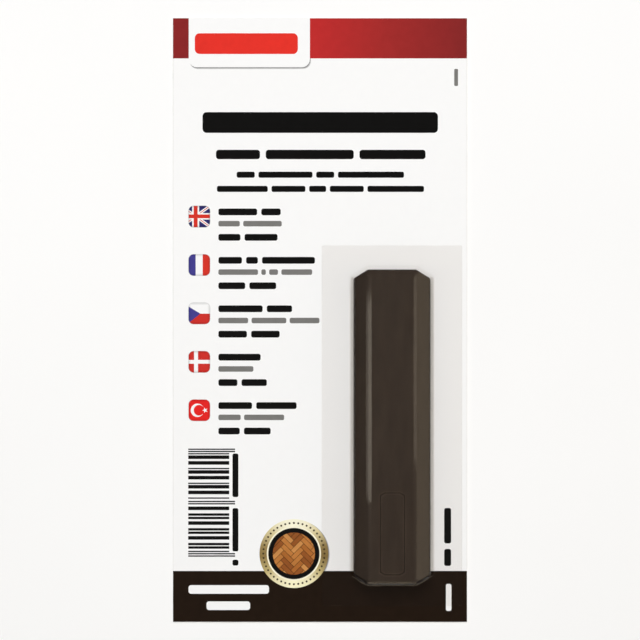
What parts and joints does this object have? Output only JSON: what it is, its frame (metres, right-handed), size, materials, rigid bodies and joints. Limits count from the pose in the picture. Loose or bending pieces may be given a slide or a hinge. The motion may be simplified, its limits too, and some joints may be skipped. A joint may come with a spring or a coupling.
{
  "type": "carded furniture repair wax stick",
  "caption": "Carded repair wax: a bevelled dark brown wax bar and a flat spatula sealed on a printed card under a clear blister that peels open.",
  "frame": {"origin": "middle of the card's back, which lies on the surface", "axes": "+X to the right across the card, +Y up the card, +Z out of its printed face"},
  "size_m": [0.085, 0.1746, 0.0115],
  "materials": {
    "printed_board": "satin",
    "clear_film": "gloss",
    "dark_wax": "satin",
    "pale_plastic": "satin"
  },
  "bodies": {
    "card": {"backing_card": "printed_board"},
    "blister": {"blister": "clear_film"},
    "stick": {"wax_stick": "dark_wax"},
    "spatula": {"spatula": "pale_plastic"}
  },
  "joints": [
    {"name": "blister_peel", "type": "hinge", "parent": "card", "child": "blister", "pos_m": [0.0208, 0.02136, 0.00077], "axis": [-1, 0, 0], "range_deg": [0, 120]},
    {"name": "stick_lift", "type": "slide", "parent": "card", "child": "stick", "axis": [0, 0, 1], "range_m": [0, 0.0137]},
    {"name": "spatula_lift", "type": "slide", "parent": "card", "child": "spatula", "axis": [0, 0, 1], "range_m": [0, 0.0064]}
  ],
  "couplings": [
    {"joint": "stick_lift", "follows": "blister_peel", "m_per_rad": 0.0065},
    {"joint": "spatula_lift", "follows": "blister_peel", "m_per_rad": 0.003}
  ]
}
